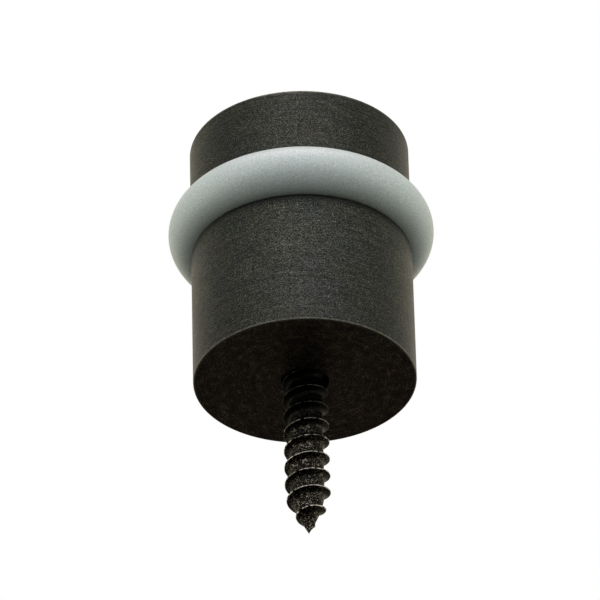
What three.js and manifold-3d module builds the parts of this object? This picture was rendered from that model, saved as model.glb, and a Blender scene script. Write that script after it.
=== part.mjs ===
// A floor-mounted door stop: a squat metal barrel screwed down to the floor through its base,
// a cap that screws into the barrel and hides the screw's head, and a rubber bumper ring
// pinched between the two. Millimetres, Z up, the base face on Z = 0.
import * as THREE from 'three';
import { mergeVertices } from 'three/addons/utils/BufferGeometryUtils.js';
import Module from 'manifold-3d';

const wasm = await Module();
wasm.setup();

// ---- whole object
const BODY_R = 12.7;
const HEIGHT = 31.75;
const RIM_BREAK = 0.2;
const BODY_SIDES = 72;

// ---- groove and bumper ring
const GROOVE_LOW = 17.32;
const GROOVE_HIGH = 23.42;
const GROOVE_BREAK = 0.12;
const NECK_R = 9.2;
const RING_SECTION_R = 3.03;
const RING_MID_R = 12.26;
const RING_SECTION_SIDES = 20;

// ---- cap thread, M16 x 1, and its socket in the barrel
const CAP_THREAD = { pitch: 1, flank: 0.36, land: 0.14, sides: 36 };
const BOSS_FADE = 0.25;
const BOSS_CHAMFER = 0.3;
const SOCKET_FADE = 0.1;
const CAP_CREST_R = 7.9;
const CAP_ROOT_R = 7.3;
const THREAD_GAP = 0.14;
const BOSS_END = 12.6;
const BOSS_THREAD_Z = 13.8;
const BOSS_TURNS = 2.6;
const SOCKET_FLOOR = 12.2;
const SOCKET_THREAD_Z = 12.8;
const SOCKET_TURNS = 5;
const SOCKET_MOUTH_R = 8.3;

// ---- screw hole through the base, countersunk for the head
const HOLE_R = 2.75;
const SEAT_R = 5.55;
const SEAT_TOP = 11.45;

// ---- wood screw
const SCREW_THREAD = { pitch: 2.24, flank: 0.44, land: 0.12, sides: 28 };
const SCREW_TIP = -20.35;
const SCREW_MAJOR_R = 2.58;
const SCREW_ROOT_R = 1.88;
const SCREW_SHANK_R = 2.5;
const SCREW_TAPER = 5.6;
const TAPER_SHARES = [0.06, 0.2, 0.4, 0.65, 1];
const SCREW_TURNS = 9;
const RIDGE_TOP = 0.72;
const SCREW_FADE = 0.4;
const SHANK_LOW = 1.3;
const SHANK_SLOPE = 1;
const HEAD_R = 5.2;
const HEAD_TOP = 11.5;
const HEAD_RIM = 0.35;
const HEAD_BREAK = 0.05;
const RECESS_SPAN = 5.6;
const RECESS_WING = 1.2;
const RECESS_DEPTH = 2.6;
const RECESS_RISE = 0.2;
const RECESS_END_SCALE = 0.35;

// ---- thread ridges: how far the foot sits under the root, its least radius, and how far a
// faded end dives under the root, as a share of the ridge's height
const RIDGE_SUNK = 0.25;
const RIDGE_FOOT_LEAST_R = 0.02;
const RIDGE_DIVE = 0.15;

/** Only the positions, with shared corners merged and triangles of no area left out. */
function welded(geometry) {
  geometry.deleteAttribute('normal');
  geometry.deleteAttribute('uv');
  const merged = mergeVertices(geometry);
  const index = Array.from(merged.getIndex().array);
  const kept = [];
  for (let i = 0; i < index.length; i += 3) {
    const [a, b, c] = index.slice(i, i + 3);
    if (a !== b && b !== c && c !== a) {
      kept.push(a, b, c);
    }
  }
  return merged.setIndex(kept);
}

function asSolid(geometry) {
  const clean = welded(geometry);
  const vertProperties = clean.getAttribute('position').array;
  const triVerts = Uint32Array.from(clean.getIndex().array);
  return new wasm.Manifold(new wasm.Mesh({ numProp: 3, vertProperties, triVerts }));
}

function asGeometry(solid) {
  const mesh = solid.getMesh();
  const geometry = new THREE.BufferGeometry();
  geometry.setAttribute('position', new THREE.BufferAttribute(mesh.vertProperties, 3));
  geometry.setIndex(Array.from(mesh.triVerts));
  return geometry;
}

/** A body turned about Z. Its [radius, z] corners climb the outside. */
function turned(corners, sides) {
  const points = corners.map(([radius, z]) => new THREE.Vector2(radius, z));
  return new THREE.LatheGeometry(points, sides).rotateX(Math.PI / 2);
}

/**
 * The ridge of a right-hand thread. Its section, with x along the screw and y from the sunk
 * foot (0) to the crest (1), is extruded straight, and then wound onto the helix. root(z) and
 * crest(z) are its radii at each height. It dives under the root over `fade` turns at its ends.
 */
function threadRidge({ pitch, flank, land, sides, from, turns, root, crest, fade }) {
  const middle = from + (pitch * turns) / 2;
  const foot = land / 2 + flank * (1 + RIDGE_SUNK / (crest(middle) - root(middle)));
  const section = new THREE.Shape([
    new THREE.Vector2(-foot, 0),
    new THREE.Vector2(foot, 0),
    new THREE.Vector2(land / 2, 1),
    new THREE.Vector2(-land / 2, 1),
  ]);
  const steps = Math.round(turns * sides);
  const options = { depth: turns, steps, bevelEnabled: false };
  const geometry = new THREE.ExtrudeGeometry(section, options);
  const place = geometry.getAttribute('position');
  for (let i = 0; i < place.count; i += 1) {
    const turn = place.getZ(i);
    const z = from + pitch * turn + place.getX(i);
    const grown = Math.min(1, turn / fade, (turns - turn) / fade);
    const height = (grown - RIDGE_DIVE * (1 - grown)) * (crest(z) - root(z));
    const foothold = Math.max(RIDGE_FOOT_LEAST_R, root(z) - RIDGE_SUNK);
    const radius = foothold + place.getY(i) * (root(z) + height - foothold);
    const angle = 2 * Math.PI * turn;
    place.setXYZ(i, radius * Math.cos(angle), radius * Math.sin(angle), z);
  }
  return geometry;
}

/** The barrel: screw hole and countersink from below, threaded socket from above. */
function barrel() {
  const minor = CAP_ROOT_R + THREAD_GAP;
  const major = CAP_CREST_R + THREAD_GAP;
  const blank = turned([
    [HOLE_R, 0],
    [BODY_R - RIM_BREAK, 0],
    [BODY_R, RIM_BREAK],
    [BODY_R, GROOVE_LOW - GROOVE_BREAK],
    [BODY_R - GROOVE_BREAK, GROOVE_LOW],
    [SOCKET_MOUTH_R, GROOVE_LOW],
    [minor, GROOVE_LOW - (SOCKET_MOUTH_R - minor)],
    [minor, SOCKET_FLOOR],
    [SEAT_R, SOCKET_FLOOR],
    [SEAT_R, SEAT_TOP],
    [HOLE_R, SEAT_TOP - (SEAT_R - HOLE_R)],
    [HOLE_R, 0],
  ], BODY_SIDES);
  const groove = threadRidge({
    ...CAP_THREAD,
    from: SOCKET_THREAD_Z,
    turns: SOCKET_TURNS,
    root: () => minor,
    crest: () => major,
    fade: SOCKET_FADE,
  });
  return asGeometry(asSolid(blank).subtract(asSolid(groove)));
}

/** The cap: head, plain neck that carries the ring, and threaded boss. */
function cap() {
  const body = turned([
    [0, BOSS_END],
    [CAP_ROOT_R - BOSS_CHAMFER, BOSS_END],
    [CAP_ROOT_R, BOSS_END + BOSS_CHAMFER],
    [CAP_ROOT_R, GROOVE_LOW],
    [NECK_R, GROOVE_LOW],
    [NECK_R, GROOVE_HIGH],
    [BODY_R - GROOVE_BREAK, GROOVE_HIGH],
    [BODY_R, GROOVE_HIGH + GROOVE_BREAK],
    [BODY_R, HEIGHT - RIM_BREAK],
    [BODY_R - RIM_BREAK, HEIGHT],
    [0, HEIGHT],
  ], BODY_SIDES);
  const ridge = threadRidge({
    ...CAP_THREAD,
    from: BOSS_THREAD_Z,
    turns: BOSS_TURNS,
    root: () => CAP_ROOT_R,
    crest: () => CAP_CREST_R,
    fade: BOSS_FADE,
  });
  return asGeometry(asSolid(body).add(asSolid(ridge)));
}

/** The bumper ring: a plain rubber ring of round section. */
function bumperRing() {
  const middle = (GROOVE_LOW + GROOVE_HIGH) / 2;
  const ring = new THREE.TorusGeometry(
    RING_MID_R, RING_SECTION_R, RING_SECTION_SIDES, BODY_SIDES);
  return ring.translate(0, 0, middle);
}

/** One wing of the cross recess: a bar that narrows downwards, from just above the head. */
function recessWing(turn) {
  const bar = new THREE.CylinderGeometry(Math.SQRT1_2, Math.SQRT1_2 * RECESS_END_SCALE,
    RECESS_DEPTH + RECESS_RISE, 4);
  bar.rotateX(Math.PI / 2).rotateZ(Math.PI / 4).scale(RECESS_SPAN, RECESS_WING, 1);
  return bar.rotateZ(turn).translate(0, 0, HEAD_TOP + (RECESS_RISE - RECESS_DEPTH) / 2);
}

/** The wood screw: gimlet point, tapering core and thread, shank, flat head and cross recess. */
function woodScrew() {
  const climb = (z) => Math.min(1, Math.max(0, (z - SCREW_TIP) / SCREW_TAPER));
  const swell = (z) => Math.sin((Math.PI / 2) * climb(z));
  const root = (z) => SCREW_ROOT_R * swell(z);
  const crest = (z) => SCREW_MAJOR_R * swell(z);
  const taper = TAPER_SHARES.map((share) => SCREW_TIP + share * SCREW_TAPER);
  const core = turned([
    [0, SCREW_TIP],
    ...taper.map((z) => [root(z), z]),
    [SCREW_ROOT_R, SHANK_LOW - SHANK_SLOPE],
    [SCREW_SHANK_R, SHANK_LOW],
    [SCREW_SHANK_R, HEAD_TOP - HEAD_RIM - (HEAD_R - SCREW_SHANK_R)],
    [HEAD_R, HEAD_TOP - HEAD_RIM],
    [HEAD_R - HEAD_BREAK, HEAD_TOP],
    [0, HEAD_TOP],
  ], SCREW_THREAD.sides);
  const ridge = threadRidge({
    ...SCREW_THREAD,
    from: RIDGE_TOP - SCREW_THREAD.pitch * SCREW_TURNS,
    turns: SCREW_TURNS,
    root,
    crest,
    fade: SCREW_FADE,
  });
  const screw = asSolid(core).add(asSolid(ridge));
  const recess = asSolid(recessWing(0)).add(asSolid(recessWing(Math.PI / 2)));
  return asGeometry(screw.subtract(recess));
}

function finish(color, metalness, roughness) {
  return new THREE.MeshStandardMaterial({ color, metalness, roughness });
}

function piece(name, geometry, material) {
  const mesh = new THREE.Mesh(geometry, material);
  mesh.name = name;
  return mesh;
}

const bronze = finish(0x35322f, 0.85, 0.42);
const rubber = finish(0xa4aca9, 0.0, 0.8);
const steel = finish(0x24221f, 0.8, 0.38);

const group = new THREE.Group();
group.name = 'floor_door_stop';
group.add(piece('barrel', barrel(), bronze));
group.add(piece('cap', cap(), bronze));
group.add(piece('bumper_ring', bumperRing(), rubber));
group.add(piece('wood_screw', woodScrew(), steel));

export default group;
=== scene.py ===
"""The looks of a floor door stop: turned barrel and cap, bumper ring and wood screw.

Metres, Z up, the base face on Z = 0. Every piece is a turned surface, worked out with numpy as
rows of points that run round the Z axis. Lengths named here are in millimetres until they
are put into a mesh.
"""

import math

import bmesh
import bpy
import numpy as np
from mathutils import Matrix, Vector


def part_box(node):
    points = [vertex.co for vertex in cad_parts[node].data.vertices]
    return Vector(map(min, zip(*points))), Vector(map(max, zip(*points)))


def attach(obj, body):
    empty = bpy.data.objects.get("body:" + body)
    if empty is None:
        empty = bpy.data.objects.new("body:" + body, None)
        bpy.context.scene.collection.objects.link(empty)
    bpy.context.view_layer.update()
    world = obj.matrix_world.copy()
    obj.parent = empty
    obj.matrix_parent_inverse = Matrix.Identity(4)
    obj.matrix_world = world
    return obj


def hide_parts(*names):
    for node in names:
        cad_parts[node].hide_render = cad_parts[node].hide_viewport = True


MM = 0.001
ROUND = 256  # columns round a turned piece
# At 1 an edge is rubbed and carries a painted highlight; at -1 it carries painted shade, where the barrel
# meets the ring.
RUBBED_HIGHLIGHT, UNDER_RING_SHADE = 1, -1  # the two ends of the attribute "wear"
REACH = {RUBBED_HIGHLIGHT: 0.14, UNDER_RING_SHADE: 0.9}  # how far from an edge its wear fades out

# Camera: far off and below the base, looking up at the barrel. Angles are in degrees.
CAMERA_AIM_Z = 15.24
CAMERA_DISTANCE = 720.0
CAMERA_BELOW = 34.7
CAMERA_YAW = 0.026
CAMERA_PITCH = -0.258
CAMERA_ROLL = 1.5
CAMERA_LENS = 376.4

# The tent's light, by the height of its direction from -1 straight below to 1 straight above.
# It glows most at the level of the object: cool ahead of it, neutral beside and warm behind.
TENT_HEIGHTS = (-0.6, -0.35, -0.15, 0.0, 0.15, 0.35, 0.6, 0.85, 1.0)
TENT_AHEAD = ((0.95, 1.0, 1.03), (0, 0, 0.1, 0.9, 1.85, 2.1, 1.4, 0.9, 0.12))
TENT_BESIDE = ((1.0, 1.02, 0.87), (0, 1.0, 1.7, 1.85, 1.25, 0.95, 0.55, 0.12, 0.12))
TENT_BEHIND = ((1.12, 1.0, 0.8), (0.15, 0, 0.03, 0.25, 0.7, 1.05, 0.8, 0.25, 0.12))

# Heights where the look changes: the base face lies under BASE_FACE, and a painted shadow of the
# base lies on the screw's thread down to BASE_SHADOW_FULL and fades out by BASE_SHADOW_GONE.
BASE_FACE = 0.02
BASE_SHADOW_FULL = -5.0
BASE_SHADOW_GONE = -9.5

# Hidden sizes that the frame's boxes don't give.
NECK_RADIUS = 9.2
HOLE_RADIUS = 2.75
SEAT_RADIUS = 5.55
SEAT_TOP = 11.45
SOCKET_FLOOR = 12.2
SOCKET_MOUTH = 8.3

# Cap thread and the socket's thread, which stands off it by THREAD_GAP.
CAP_PITCH = 1.0
CAP_FLANK = 0.36
CAP_LAND = 0.14
CAP_CREST = 7.9
CAP_ROOT = 7.3
THREAD_GAP = 0.14
THREAD_PHASE = 0.8

# Wood screw.
SCREW_PITCH = 2.24
SCREW_FLANK = 0.5
SCREW_LAND = 0.09
SCREW_MAJOR = 2.58
SCREW_ROOT = 1.88
SCREW_SHANK = 2.5
SCREW_TAPER = 5.6
SCREW_PHASE = 0.72
SCREW_THREAD_TOP = 1.3
HEAD_RADIUS = 5.2
HEAD_RIM = 0.35
RECESS_SPAN = 5.6
RECESS_WING = 1.2
RECESS_DEPTH = 2.6
RECESS_RISE = 0.2
RECESS_END = 0.35

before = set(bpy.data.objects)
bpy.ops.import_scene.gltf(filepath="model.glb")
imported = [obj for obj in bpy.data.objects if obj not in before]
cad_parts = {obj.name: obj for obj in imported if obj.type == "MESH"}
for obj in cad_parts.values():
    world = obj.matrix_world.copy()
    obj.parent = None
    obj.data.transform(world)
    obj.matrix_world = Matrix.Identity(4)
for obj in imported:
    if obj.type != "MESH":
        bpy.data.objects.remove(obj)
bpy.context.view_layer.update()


def millimetres(node):
    """A node's lowest and highest corner, in millimetres."""
    low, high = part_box(node)
    return np.array(low) / MM, np.array(high) / MM


BARREL_LOW, BARREL_HIGH = millimetres("barrel")
CAP_LOW, CAP_HIGH = millimetres("cap")
RING_LOW, RING_HIGH = millimetres("bumper_ring")
SCREW_LOW, SCREW_HIGH = millimetres("wood_screw")
BODY_RADIUS = BARREL_HIGH[0]
GROOVE_LOW = BARREL_HIGH[2]
GROOVE_HIGH = RING_LOW[2] + RING_HIGH[2] - GROOVE_LOW


# ---------------------------------------------------------------- camera, lights and floor


def camera():
    """A long lens below the base, turned a little about its own axes."""
    below = math.radians(CAMERA_BELOW)
    ahead = Vector((0, math.cos(below), math.sin(below)))
    right = Vector((1, 0, 0))
    place = Vector((0, 0, CAMERA_AIM_Z)) - CAMERA_DISTANCE * ahead
    yaw = Matrix.Rotation(math.radians(CAMERA_YAW), 3, right.cross(ahead))
    right = yaw @ right
    pitch = Matrix.Rotation(math.radians(CAMERA_PITCH), 3, right)
    ahead = pitch @ yaw @ ahead
    roll = Matrix.Rotation(math.radians(CAMERA_ROLL), 3, ahead)
    right = roll @ right
    up = right.cross(ahead)
    data = bpy.data.cameras.new("camera")
    data.lens = CAMERA_LENS
    data.clip_start, data.clip_end = 0.01, 20
    cam = bpy.data.objects.new("camera", data)
    turn = Matrix((right, up, -ahead)).transposed()
    cam.matrix_world = Matrix.Translation(place * MM) @ turn.to_4x4()
    bpy.context.scene.collection.objects.link(cam)
    bpy.context.scene.camera = cam


def softbox(name, place, aim, size, power, colour):
    """A square area light at place, facing aim, both in metres."""
    data = bpy.data.lights.new(name, "AREA")
    data.shape = "SQUARE"
    data.size = size
    data.energy = power
    data.color = colour
    light = bpy.data.objects.new(name, data)
    place, aim = Vector(place), Vector(aim)
    light.location = place
    light.rotation_euler = (aim - place).to_track_quat("-Z", "Y").to_euler()
    bpy.context.scene.collection.objects.link(light)


def tent():
    """A white tent: plain white to the eye, and as light it varies with height and side.

    With (x, y, z) a direction and s = x^2 + y^2, the light is x^2 / s of the light beside, plus
    y^2 / s of the light ahead where y < 0, or of the light behind where y > 0.
    """
    world = bpy.data.worlds.new("white_tent")
    world.use_nodes = True
    tree = world.node_tree
    tree.nodes.clear()
    way = add(tree, "ShaderNodeSeparateXYZ", _0=add(tree, "ShaderNodeTexCoord").outputs["Object"])
    climb = add(tree, "ShaderNodeMapRange", Value=way.outputs["Z"], From_Min=-1.0, From_Max=1.0)
    glows = []
    for tint, levels in (TENT_AHEAD, TENT_BESIDE, TENT_BEHIND):
        node = add(tree, "ShaderNodeValToRGB", Fac=climb.outputs[0])
        stops = node.color_ramp.elements
        for height, level in zip(TENT_HEIGHTS[:-1], levels):
            stops.new((height + 1) / 2).color = (*(level * part for part in tint), 1)
        stops[0].color = (0, 0, 0, 1)
        stops[-1].color = (*(levels[-1] * part for part in tint), 1)
        glows.append(node.outputs["Color"])
    x, y = way.outputs["X"], way.outputs["Y"]
    across = add(tree, "ShaderNodeMath", {"operation": "MULTIPLY"}, _0=x, _1=x)
    along = add(tree, "ShaderNodeMath", {"operation": "MULTIPLY"}, _0=y, _1=y)
    x2, y2 = across.outputs[0], along.outputs[0]
    both = add(tree, "ShaderNodeMath", {"operation": "ADD"}, _0=x2, _1=y2)
    share = add(tree, "ShaderNodeMath", {"operation": "DIVIDE"}, _0=x2, _1=both.outputs[0])
    back = add(tree, "ShaderNodeMath", {"operation": "GREATER_THAN"}, _0=y, _1=0.0).outputs[0]
    ahead, beside, behind = glows
    facing = add(tree, "ShaderNodeMix", {"data_type": "RGBA"}, _0=back, _6=ahead, _7=behind)
    lengthwise = facing.outputs[2]
    part = share.outputs[0]
    glow = add(tree, "ShaderNodeMix", {"data_type": "RGBA"}, _0=part, _6=lengthwise, _7=beside)
    lit = add(tree, "ShaderNodeBackground", Color=glow.outputs[2], Strength=1.0)
    seen = add(tree, "ShaderNodeBackground", Color=(1, 1, 1, 1), Strength=1.0)
    ray = add(tree, "ShaderNodeLightPath").outputs["Is Camera Ray"]
    mix = add(tree, "ShaderNodeMixShader", _0=ray, _1=lit.outputs[0], _2=seen.outputs[0])
    add(tree, "ShaderNodeOutputWorld", Surface=mix.outputs[0])
    bpy.context.scene.world = world
    bpy.context.scene.view_settings.view_transform = "Standard"


def studio():
    """The tent, a softbox above and a little ahead, and a pale floor far below."""
    tent()
    middle = (0, 0, 0.015)
    rosy = (1.0, 0.87, 0.88)
    softbox("key_above", (0, -0.25, 0.75), middle, size=0.6, power=3.4, colour=rosy)
    half, level = 3.0, -0.62  # metres: half the floor's side, and how far down it lies
    corners = [(x * half, y * half, level) for x, y in ((-1, -1), (1, -1), (1, 1), (-1, 1))]
    mesh = bpy.data.meshes.new("floor")
    mesh.from_pydata(corners, [], [(0, 1, 2, 3)])
    floor = bpy.data.objects.new("floor", mesh)
    floor.visible_diffuse = False
    floor.visible_glossy = False
    bpy.context.scene.collection.objects.link(floor)
    mesh.materials.append(pale_floor())


# ---------------------------------------------------------------- materials


def linear(hex_colour):
    """An sRGB hex colour as linear red, green, blue and alpha."""
    parts = [int(hex_colour[i : i + 2], 16) / 255 for i in (1, 3, 5)]
    return [c / 12.92 if c <= 0.04045 else ((c + 0.055) / 1.055) ** 2.4 for c in parts] + [1.0]


def add(tree, kind, settings=None, **links):
    """A node of that kind with its settings.

    Each of links is an input socket, by its name or as _ and its number, and gets a value or an
    output to be joined to.
    """
    node = tree.nodes.new(kind)
    for key, value in (settings or {}).items():
        setattr(node, key, value)
    for key, value in links.items():
        socket = node.inputs[int(key[1:]) if key[0] == "_" else key.replace("_", " ")]
        if isinstance(value, bpy.types.NodeSocket):
            tree.links.new(value, socket)
        else:
            socket.default_value = value
    return node


def material(name):
    """A new material with only an output and a Principled shader: (material, tree, shader)."""
    made = bpy.data.materials.new(name)
    made.use_nodes = True
    return made, made.node_tree, made.node_tree.nodes["Principled BSDF"]


def pale_floor():
    """Matt white paper, lit a little from within so that it stays pale far from the lights."""
    made, tree, shader = material("white_paper")
    shader.inputs["Base Color"].default_value = linear("#e6e6e4")
    shader.inputs["Roughness"].default_value = 0.9
    shader.inputs["Emission Color"].default_value = (1, 1, 1, 1)
    shader.inputs["Emission Strength"].default_value = 0.6
    return made


def turned_place(tree, spot, length, width):
    """A place whose unit cells are thin hoops: length mm long round the axis, width mm wide.

    It is (x, y, 0) / length + (0, 0, radius + z) / width, so the cells are hoops on the sides of a
    turned piece and thin rings on its flat ends.
    """
    parts = add(tree, "ShaderNodeSeparateXYZ", _0=spot)
    flat = add(tree, "ShaderNodeCombineXYZ", X=parts.outputs["X"], Y=parts.outputs["Y"])
    radius = add(tree, "ShaderNodeVectorMath", {"operation": "LENGTH"}, _0=flat.outputs[0])
    rise = parts.outputs["Z"]
    reach = add(tree, "ShaderNodeMath", {"operation": "ADD"}, _0=radius.outputs["Value"], _1=rise)
    fast = add(tree, "ShaderNodeMath", {"operation": "DIVIDE"}, _0=reach.outputs[0], _1=width * MM)
    slow = add(tree, "ShaderNodeVectorMath", {"operation": "SCALE"}, _0=flat.outputs[0])
    slow.inputs["Scale"].default_value = 1 / (length * MM)
    lift = add(tree, "ShaderNodeCombineXYZ", Z=fast.outputs[0])
    turn, climb = slow.outputs[0], lift.outputs[0]
    return add(tree, "ShaderNodeVectorMath", {"operation": "ADD"}, _0=turn, _1=climb).outputs[0]


def oil_rubbed_bronze():
    """Brass, turned and brushed, then blackened and rubbed with oil: nearly black and satin.

    The eye gets short light and dark hairlines round the piece from the brushing, a sparkle of
    grains where the blackening is thin, a slow drift from warm to cool, and paler edges, where
    handling has rubbed the metal and a highlight is painted on. Where the barrel meets the ring
    it carries painted shade, and it is darker toward the floor and on the cap.
    """
    made, tree, shader = material("oil_rubbed_bronze")
    spot = add(tree, "ShaderNodeTexCoord").outputs["Object"]
    # Real hairlines are about 0.03 mm wide: they are drawn 0.09 mm wide so that they show.
    short = turned_place(tree, spot, length=0.35, width=0.09)
    long = turned_place(tree, spot, length=4.0, width=0.09)
    nick = add(tree, "ShaderNodeTexNoise", Vector=short, Scale=1.0, Detail=2.0, Roughness=0.6)
    line = add(tree, "ShaderNodeTexNoise", Vector=long, Scale=1.0, Detail=1.0, Roughness=0.5)
    hair = add(tree, "ShaderNodeMix", _0=0.35, _2=nick.outputs["Fac"], _3=line.outputs["Fac"])
    fine, medium, slow = (1 / (size * MM) for size in (0.088, 1.1, 5.0))
    grain = add(tree, "ShaderNodeTexNoise", Vector=spot, Scale=fine, Detail=1.0, Roughness=0.6)
    patch = add(tree, "ShaderNodeTexNoise", Vector=spot, Scale=medium, Detail=3.0, Roughness=0.6)
    drift = add(tree, "ShaderNodeTexNoise", Vector=spot, Scale=slow, Detail=2.0, Roughness=0.5)
    tone = add(tree, "ShaderNodeMapRange", Value=drift.outputs["Fac"], From_Min=0.35, From_Max=0.65)
    side = add(tree, "ShaderNodeMix", {"data_type": "RGBA"}, Factor=tone.outputs[0])
    side.inputs[6].default_value = linear("#2d2d26")
    side.inputs[7].default_value = linear("#292a27")
    # The base face was blackened but not rubbed: browner, and blotched.
    height = add(tree, "ShaderNodeSeparateXYZ", _0=spot).outputs["Z"]
    under = add(tree, "ShaderNodeMath", {"operation": "LESS_THAN"}, _0=height, _1=BASE_FACE * MM)
    blotch = add(tree, "ShaderNodeMapRange", Value=patch.outputs["Fac"], From_Min=0.35, From_Max=0.65)
    base = add(tree, "ShaderNodeMix", {"data_type": "RGBA"}, Factor=blotch.outputs[0])
    base.inputs[6].default_value = linear("#40302b")
    base.inputs[7].default_value = linear("#6c6053")
    browned, blacked = base.outputs[2], side.outputs[2]
    tint = add(tree, "ShaderNodeMix", {"data_type": "RGBA"}, _0=under.outputs[0], _6=blacked, _7=browned)

    # How light a spot is, as a factor on its tint: mostly well under 1, with rare bright grains.
    worn = add(tree, "ShaderNodeMix", _0=0.6, _2=hair.outputs[0], _3=grain.outputs["Fac"])
    even = add(tree, "ShaderNodeMapRange", Value=worn.outputs[0], From_Min=0.38, From_Max=0.63)
    steep = add(tree, "ShaderNodeMapRange", Value=under.outputs[0], To_Min=2.9, To_Max=4.8)
    fleck = add(tree, "ShaderNodeMath", {"operation": "POWER"}, _0=even.outputs[0], _1=steep.outputs[0])
    cloud = add(tree, "ShaderNodeMapRange", Value=patch.outputs["Fac"], From_Min=0.3, From_Max=0.7)
    cloud.inputs["To Min"].default_value = 4.8
    cloud.inputs["To Max"].default_value = 6.5
    light = add(tree, "ShaderNodeMath", {"operation": "MULTIPLY"}, _0=fleck.outputs[0], _1=cloud.outputs[0])
    edge = add(tree, "ShaderNodeAttribute", {"attribute_name": "wear_and_shade"})
    edge_wear_and_shade = edge.outputs["Fac"]
    # Painted shade: near the barrel's top edge, under the ring, the colour falls to 0.15 of itself.
    ring_shade = add(tree, "ShaderNodeMapRange", Value=edge_wear_and_shade, From_Min=UNDER_RING_SHADE, From_Max=0, To_Min=0.15)
    # Darker toward the floor and on the cap.
    top = CAP_HIGH[2]
    rise = add(tree, "ShaderNodeMath", {"operation": "DIVIDE"}, _0=height, _1=top * MM)
    height_dim = add(tree, "ShaderNodeValToRGB", Fac=rise.outputs[0])
    stops = height_dim.color_ramp.elements
    stops.new(0.38).color = (1, 1, 1, 1)
    stops.new(GROOVE_LOW / top).color = (1, 1, 1, 1)
    stops.new(GROOVE_HIGH / top).color = (0.82, 0.82, 0.82, 1)
    stops[0].color = (0.8, 0.8, 0.8, 1)
    stops[-1].color = (0.82, 0.82, 0.82, 1)
    clear, height_dimmed = ring_shade.outputs[0], height_dim.outputs[0]
    shade_and_dim = add(tree, "ShaderNodeMath", {"operation": "MULTIPLY"}, _0=clear, _1=height_dimmed).outputs[0]
    left = add(tree, "ShaderNodeMath", {"operation": "MULTIPLY"}, _0=light.outputs[0], _1=shade_and_dim).outputs[0]
    dark = add(tree, "ShaderNodeVectorMath", {"operation": "SCALE"}, _0=tint.outputs[2], Scale=left)

    # Rubbed edges are paler, in a line that the hairlines break up: worn metal with a painted highlight on
    # it.
    edge_only = add(tree, "ShaderNodeMapRange", Value=edge_wear_and_shade, From_Min=0, From_Max=RUBBED_HIGHLIGHT).outputs[0]
    broken = add(tree, "ShaderNodeMapRange", Value=hair.outputs[0], From_Min=0.35, From_Max=0.6)
    rub_and_highlight = add(tree, "ShaderNodeMath", {"operation": "MULTIPLY"}, _0=edge_only, _1=broken.outputs[0])
    colour = add(tree, "ShaderNodeMix", {"data_type": "RGBA"}, _0=rub_and_highlight.outputs[0], _6=dark.outputs[0])
    colour.inputs[7].default_value = linear("#5e5a51")
    tree.links.new(colour.outputs[2], shader.inputs["Base Color"])

    rough = add(tree, "ShaderNodeMapRange", Value=even.outputs[0], To_Min=0.54, To_Max=0.38)
    tree.links.new(rough.outputs[0], shader.inputs["Roughness"])
    shader.inputs["Metallic"].default_value = 0.75
    bump = add(tree, "ShaderNodeBump", Strength=0.5, Distance=0.025 * MM, Height=worn.outputs[0])
    tree.links.new(bump.outputs[0], shader.inputs["Normal"])
    return made


def grey_rubber():
    """Moulded grey rubber: satin, a little dusty, with the fine skin of a blasted mould.

    The eye gets a soft, even shade with a fine mottle, a broad dim highlight and a faint sheen.
    """
    made, tree, shader = material("grey_rubber")
    spot = add(tree, "ShaderNodeTexCoord").outputs["Object"]
    skin = add(tree, "ShaderNodeTexNoise", Vector=spot, Scale=1 / (0.13 * MM), Detail=2.0, Roughness=0.6)
    bloom = add(tree, "ShaderNodeTexNoise", Vector=spot, Scale=1 / (3.0 * MM), Detail=3.0, Roughness=0.55)
    tone = add(tree, "ShaderNodeMix", {"data_type": "RGBA"}, Factor=bloom.outputs["Fac"])
    tone.inputs[6].default_value = linear("#b5bebe")
    tone.inputs[7].default_value = linear("#bdc3c4")
    mottle = add(tree, "ShaderNodeMapRange", Value=skin.outputs["Fac"], From_Min=0.3, From_Max=0.7)
    mottle.inputs["To Min"].default_value = 0.72
    mottle.inputs["To Max"].default_value = 1.28
    shade = mottle.outputs[0]
    colour = add(tree, "ShaderNodeVectorMath", {"operation": "SCALE"}, _0=tone.outputs[2], Scale=shade)
    tree.links.new(colour.outputs[0], shader.inputs["Base Color"])
    rough = add(tree, "ShaderNodeMapRange", Value=bloom.outputs["Fac"], From_Min=0.3, From_Max=0.7)
    rough.inputs["To Min"].default_value = 0.38
    rough.inputs["To Max"].default_value = 0.46
    tree.links.new(rough.outputs[0], shader.inputs["Roughness"])
    shader.inputs["IOR"].default_value = 1.5
    shader.inputs["Sheen Weight"].default_value = 0.1
    shader.inputs["Sheen Roughness"].default_value = 0.3
    bump = add(tree, "ShaderNodeBump", Strength=0.4, Distance=0.02 * MM, Height=skin.outputs["Fac"])
    tree.links.new(bump.outputs[0], shader.inputs["Normal"])
    return made


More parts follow.
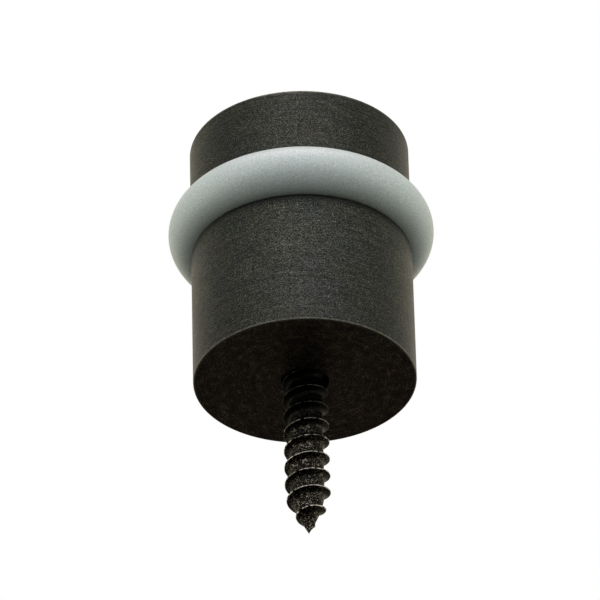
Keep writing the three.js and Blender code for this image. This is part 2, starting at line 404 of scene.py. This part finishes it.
def blackened_steel():
    """Rolled steel with black oxide: dark and semi-gloss, and bare along the thread's crests.

    The eye gets a speckle of thin oxide on the flanks, and a bright thin line where the sharp
    crest has lost it, with a painted highlight on it. The turns next to the base carry a
    painted shadow of the base.
    """
    made, tree, shader = material("blackened_steel")
    spot = add(tree, "ShaderNodeTexCoord").outputs["Object"]
    grain = add(tree, "ShaderNodeTexNoise", Vector=spot, Scale=1 / (0.1 * MM), Detail=1.0, Roughness=0.6)
    patch = add(tree, "ShaderNodeTexNoise", Vector=spot, Scale=1 / (0.4 * MM), Detail=2.0, Roughness=0.6)
    thin = add(tree, "ShaderNodeMix", _0=0.74, _2=patch.outputs["Fac"], _3=grain.outputs["Fac"])
    even = add(tree, "ShaderNodeMapRange", Value=thin.outputs[0], From_Min=0.38, From_Max=0.65)
    bare = add(tree, "ShaderNodeMath", {"operation": "POWER"}, _0=even.outputs[0], _1=10.0)
    tone = add(tree, "ShaderNodeMix", {"data_type": "RGBA"}, Factor=bare.outputs[0])
    tone.inputs[6].default_value = linear("#0a0807")
    tone.inputs[7].default_value = linear("#b0a494")

    # Painted shadow of the base: the turns nearest it are darkened to 0.1 of their colour, less so further
    # down.
    height = add(tree, "ShaderNodeSeparateXYZ", _0=spot).outputs["Z"]
    base_shadow_map = add(tree, "ShaderNodeMapRange", Value=height, To_Min=0.1)
    base_shadow_map.inputs["From Min"].default_value = BASE_SHADOW_FULL * MM
    base_shadow_map.inputs["From Max"].default_value = BASE_SHADOW_GONE * MM
    bared, base_shadow = tone.outputs[2], base_shadow_map.outputs[0]
    base_shadowed = add(tree, "ShaderNodeVectorMath", {"operation": "SCALE"}, _0=bared, Scale=base_shadow)

    # The crest's land: bare metal where the oxide is rubbed off, with a painted highlight, dimmed where the
    # painted shadow of the base lies.
    edge = add(tree, "ShaderNodeAttribute", {"attribute_name": "wear_and_shade"})
    broken = add(tree, "ShaderNodeMapRange", Value=patch.outputs["Fac"], From_Min=0.4, From_Max=0.6)
    bright = add(tree, "ShaderNodeMath", {"operation": "MULTIPLY"}, _0=broken.outputs[0], _1=base_shadow)
    rub_and_highlight = add(tree, "ShaderNodeMath", {"operation": "MULTIPLY"}, _0=edge.outputs["Fac"], _1=bright.outputs[0])
    colour = add(tree, "ShaderNodeMix", {"data_type": "RGBA"}, _0=rub_and_highlight.outputs[0], _6=base_shadowed.outputs[0])
    colour.inputs[7].default_value = linear("#dcd3c7")
    tree.links.new(colour.outputs[2], shader.inputs["Base Color"])
    rough = add(tree, "ShaderNodeMapRange", Value=grain.outputs["Fac"], From_Min=0.3, From_Max=0.7)
    rough.inputs["To Min"].default_value = 0.28
    rough.inputs["To Max"].default_value = 0.5
    tree.links.new(rough.outputs[0], shader.inputs["Roughness"])
    shader.inputs["Metallic"].default_value = 0.9
    shader.inputs["Specular Tint"].default_value = linear("#c4c4c4")
    bump = add(tree, "ShaderNodeBump", Strength=0.5, Distance=0.04 * MM, Height=thin.outputs[0])
    tree.links.new(bump.outputs[0], shader.inputs["Normal"])
    return made


# ---------------------------------------------------------------- turned surfaces


def rounded(corners, steps=5):
    """A profile through (radius, z, bend, wear) corners, as rows of radius, z and wear.

    Each corner with a bend is replaced by an arc of that radius that is tangent to both of its
    sides, from the point bend / tan(half the corner's angle) before it to the same after it. A
    support point lies just outside each end of an arc, so that the long faces stay flat. The
    wear may be left out; it holds along the arc and fades to 0 over its REACH.
    """
    points = np.array([c[:2] for c in corners], float)
    path = []
    for i, (radius, z, bend, *rest) in enumerate(corners):
        if not bend:
            path.append((radius, z, 0))
            continue
        wear_and_shade = rest[0] if rest else 0
        here, back, on = points[i], points[i - 1], points[i + 1]
        a = (back - here) / np.linalg.norm(back - here)
        b = (on - here) / np.linalg.norm(on - here)
        half = math.acos(float(np.clip(a @ b, -1, 1))) / 2
        cut = bend / math.tan(half)
        centre = here + (a + b) / np.linalg.norm(a + b) * bend / math.sin(half)
        start, end = here + a * cut, here + b * cut
        turn = np.linspace(0, 1, steps + 1)[:, None]
        spread = math.pi - 2 * half
        u, v = start - centre, end - centre
        arc = centre + (np.sin((1 - turn) * spread) * u + np.sin(turn * spread) * v) / math.sin(spread)
        before = [(*(start + a * 0.12 * bend), wear_and_shade)]
        after = [(*(end + b * 0.12 * bend), wear_and_shade)]
        if wear_and_shade:
            before.insert(0, (*(start + a * REACH[wear_and_shade]), 0))
            after.append((*(end + b * REACH[wear_and_shade]), 0))
        path += [*before, *((*spot, wear_and_shade) for spot in arc), *after]
    return np.array(path, float)


def hoops(profile):
    """Rows of points: each (radius, z, wear) of a profile, carried once round the Z axis."""
    angle = np.linspace(0, 2 * np.pi, ROUND + 1)
    radius, z, wear_and_shade = (profile[:, k : k + 1] for k in range(3))
    still = 0 * angle
    return np.stack([radius * np.cos(angle), radius * np.sin(angle), z + still, wear_and_shade + still], axis=-1)


def thread(pitch, flank, land, phase, low, high, root, crest, run):
    """Rows of a right-hand thread between the heights low and high.

    Row k follows the helix z = start + offset k + pitch * angle / turn, held between low and
    high, so every corner of the thread's section lies on a row. The radius is root(z), plus
    the section's height there times (crest(z) - root(z)). The section is 1 on its land, falls
    to 0 over its flank as (1 - t) ** 1.6, and is 0 between turns. It grows from 0 at low and
    falls to 0 at high, over the distance run. Its land is marked rubbed, and carries a painted
    highlight.
    """
    slope = np.array([0, 0.06, 0.18, 0.36, 0.6, 1.0])
    side = land / 2 + flank * slope
    fall = (1 - slope) ** 1.6
    gap = pitch / 2 - side[-1]
    offset = np.concatenate([-side[::-1], side, side[-1] + 2 * gap * np.array([0.33, 0.67])])
    height = np.concatenate([fall[::-1], fall, [0, 0]])
    first = math.floor((low - phase) / pitch) - 2
    turns = math.ceil((high - low) / pitch) + 4
    starts = phase + pitch * (first + np.arange(turns))
    base = (starts[:, None] + offset).reshape(-1, 1)
    share = np.tile(height, turns)[:, None]
    angle = np.linspace(0, 2 * np.pi, ROUND + 1)
    z = np.clip(base + pitch * angle / (2 * np.pi), low, high)
    grown = np.clip(np.minimum(z - low, high - z) / run, 0, 1)
    radius = root(z) + share * grown * (crest(z) - root(z))
    wear_and_shade = np.where(share > 0.99, RUBBED_HIGHLIGHT * grown, 0)
    return np.stack([radius * np.cos(angle), radius * np.sin(angle), z, wear_and_shade], axis=-1)


def skin(name, rows, finish, loop=False):
    """A closed mesh from rows of points (x, y, z, wear) in mm, whose last column meets the first.

    Rows are joined by quads, the last to the first as well if loop is true. Coincident points
    are merged, which closes the seam and the poles and drops the faces that they flatten.
    """
    points = np.concatenate(rows)
    if loop:
        points = np.concatenate([points, points[:1]])
    tall, wide = points.shape[:2]
    index = np.arange(tall * wide).reshape(tall, wide)
    quads = np.stack([index[:-1, :-1], index[:-1, 1:], index[1:, 1:], index[1:, :-1]], axis=-1)
    mesh = bpy.data.meshes.new(name)
    mesh.vertices.add(tall * wide)
    mesh.vertices.foreach_set("co", (points[..., :3] * MM).astype(np.float32).ravel())
    wear_and_shade = mesh.attributes.new("wear_and_shade", "FLOAT", "POINT")
    wear_and_shade.data.foreach_set("value", points[..., 3].astype(np.float32).ravel())
    count = quads.size // 4
    mesh.loops.add(quads.size)
    mesh.loops.foreach_set("vertex_index", quads.astype(np.int32).ravel())
    mesh.polygons.add(count)
    mesh.polygons.foreach_set("loop_start", np.arange(0, quads.size, 4, dtype=np.int32))
    mesh.update(calc_edges=True)
    work = bmesh.new()
    work.from_mesh(mesh)
    bmesh.ops.remove_doubles(work, verts=work.verts, dist=1e-6)
    bmesh.ops.dissolve_degenerate(work, edges=work.edges, dist=1e-7)
    bmesh.ops.recalc_face_normals(work, faces=work.faces)
    work.to_mesh(mesh)
    work.free()
    mesh.polygons.foreach_set("use_smooth", np.ones(len(mesh.polygons), bool))
    mesh.materials.append(finish)
    piece = bpy.data.objects.new(name, mesh)
    bpy.context.scene.collection.objects.link(piece)
    return piece


def barrel(finish):
    """The barrel: up its side from the base face, over its top, and down its socket and bore."""
    minor = CAP_ROOT + THREAD_GAP
    major = CAP_CREST + THREAD_GAP
    mouth = GROOVE_LOW - (SOCKET_MOUTH - minor)
    seam = (HOLE_RADIUS + 0.8, 0, 0)  # on the base face, where the profile starts and ends
    foot, brim = SOCKET_FLOOR + 0.4, GROOVE_LOW - 0.1  # where the socket's thread starts and ends
    # The outside's base rim is rubbed and carries a painted highlight; its top edge, under the ring, carries
    # painted shade.
    outside = rounded([
        seam,
        (BODY_RADIUS, 0, 0.18, RUBBED_HIGHLIGHT),
        (BODY_RADIUS, GROOVE_LOW, 0.4, UNDER_RING_SHADE),
        (SOCKET_MOUTH, GROOVE_LOW, 0.05),
        (SOCKET_MOUTH - 0.1, brim, 0),
    ])
    socket = thread(
        CAP_PITCH, CAP_FLANK, CAP_LAND, THREAD_PHASE, foot, brim,
        lambda z: minor + np.maximum(0, z - mouth),
        lambda z: np.maximum(major, minor + np.maximum(0, z - mouth)), 0.3)
    socket[..., 3] = 0
    bore = rounded([
        (minor, foot, 0),
        (minor, SOCKET_FLOOR, 0.15),
        (SEAT_RADIUS, SOCKET_FLOOR, 0.1),
        (SEAT_RADIUS, SEAT_TOP, 0.1),
        (HOLE_RADIUS, SEAT_TOP - (SEAT_RADIUS - HOLE_RADIUS), 0.1),
        (HOLE_RADIUS, 0, 0.12),
        seam,
    ])
    return skin("barrel_turned", [hoops(outside), socket[::-1], hoops(bore)], finish, loop=True)


def cap(finish):
    """The cap: from the boss's end up its thread and neck, out under the head and over the top."""
    boss = rounded([(0, CAP_LOW[2], 0), (CAP_ROOT, CAP_LOW[2], 0.25), (CAP_ROOT, CAP_LOW[2] + 0.6, 0)])
    ridge = thread(
        CAP_PITCH, CAP_FLANK, CAP_LAND, THREAD_PHASE, CAP_LOW[2] + 0.6, GROOVE_LOW - 0.2,
        lambda z: CAP_ROOT + 0 * z, lambda z: CAP_CREST + 0 * z, 0.5)
    # The head's top rim is rubbed and carries a painted highlight.
    head = rounded([
        (CAP_ROOT, GROOVE_LOW - 0.15, 0),
        (CAP_ROOT, GROOVE_LOW, 0.04),
        (NECK_RADIUS, GROOVE_LOW, 0.1),
        (NECK_RADIUS, GROOVE_HIGH, 0.1),
        (BODY_RADIUS, GROOVE_HIGH, 0.25),
        (BODY_RADIUS, CAP_HIGH[2], 0.22, RUBBED_HIGHLIGHT),
        (0, CAP_HIGH[2], 0),
    ])
    return skin("cap_turned", [hoops(boss), ridge, hoops(head)], finish)


def bumper_ring(finish):
    """The bumper ring: a round section carried round the axis."""
    section = (RING_HIGH[2] - RING_LOW[2]) / 2
    middle = (RING_HIGH[2] + RING_LOW[2]) / 2
    around = np.linspace(0, 2 * np.pi, 96, endpoint=False)
    radius = RING_HIGH[0] - section + section * np.cos(around)
    profile = np.stack([radius, middle + section * np.sin(around), 0 * around], axis=1)
    return skin("bumper_ring_moulded", [hoops(profile)], finish, loop=True)


def swell(z):
    """How full the screw is at height z: a quarter sine from 0 at the tip to 1 at the taper's end."""
    share = np.clip((z - SCREW_LOW[2]) / SCREW_TAPER, 0, 1)
    return np.sin(share * np.pi / 2)


def recess_cutter():
    """The driver's cross, as one closed mesh in and above the head.

    Its outline is the three corners (a, -b), (a, b), (b, b) turned by four quarter turns, with a
    half the span and b half a wing's width. It shrinks to RECESS_END of its size at the bottom.
    """
    top = SCREW_HIGH[2]
    a, b = RECESS_SPAN / 2, RECESS_WING / 2
    quarter = np.array([a - 1j * b, a + 1j * b, b + 1j * b])
    outline = (quarter * 1j ** np.arange(4)[:, None]).ravel()
    count = outline.size
    corners = []
    for z, scale in ((top - RECESS_DEPTH, RECESS_END), (top + RECESS_RISE, 1.0)):
        corners += [(c.real * scale * MM, c.imag * scale * MM, z * MM) for c in outline]
    ring = np.arange(count)
    on = (ring + 1) % count
    faces = [list(ring[::-1]), list(ring + count), *np.stack([ring, on, on + count, ring + count], axis=1)]
    mesh = bpy.data.meshes.new("recess")
    mesh.from_pydata(corners, [], [[int(k) for k in face] for face in faces])
    cutter = bpy.data.objects.new("recess", mesh)
    bpy.context.scene.collection.objects.link(cutter)
    return cutter


def wood_screw(finish):
    """The wood screw: gimlet point, thread, shank, countersunk head with a cross recess."""
    tip, top = SCREW_LOW[2], SCREW_HIGH[2]
    ridge = thread(
        SCREW_PITCH, SCREW_FLANK, SCREW_LAND, SCREW_PHASE, tip, SCREW_THREAD_TOP,
        lambda z: SCREW_ROOT * swell(z), lambda z: SCREW_MAJOR * swell(z), 0.7)
    cone = HEAD_RADIUS - SCREW_SHANK
    head = rounded([
        (SCREW_ROOT, SCREW_THREAD_TOP + 0.1, 0),
        (SCREW_SHANK, SCREW_THREAD_TOP + 0.8, 0.3),
        (SCREW_SHANK, top - HEAD_RIM - cone, 0.4),
        (HEAD_RADIUS, top - HEAD_RIM, 0.06),
        (HEAD_RADIUS, top, 0.08),
        (0, top, 0),
    ])
    piece = skin("wood_screw_rolled", [ridge, hoops(head)], finish)
    cutter = recess_cutter()
    cut = piece.modifiers.new("recess", "BOOLEAN")
    cut.operation = "DIFFERENCE"
    cut.solver = "EXACT"
    cut.object = cutter
    shaped = piece.evaluated_get(bpy.context.evaluated_depsgraph_get())
    finished = bpy.data.meshes.new_from_object(shaped)
    piece.modifiers.clear()
    piece.data = finished
    bpy.data.objects.remove(cutter)
    return piece


# ---------------------------------------------------------------- the whole


camera()
studio()
bronze = oil_rubbed_bronze()
PIECES = (
    (barrel(bronze), "barrel", "barrel", "oil_rubbed_bronze"),
    (cap(bronze), "cap", "cap", "oil_rubbed_bronze"),
    (bumper_ring(grey_rubber()), "ring", "bumper_ring", "grey_rubber"),
    (wood_screw(blackened_steel()), "screw", "wood_screw", "blackened_steel"),
)
for piece, body, node, slot in PIECES:
    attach(piece, body)
    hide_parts(node)
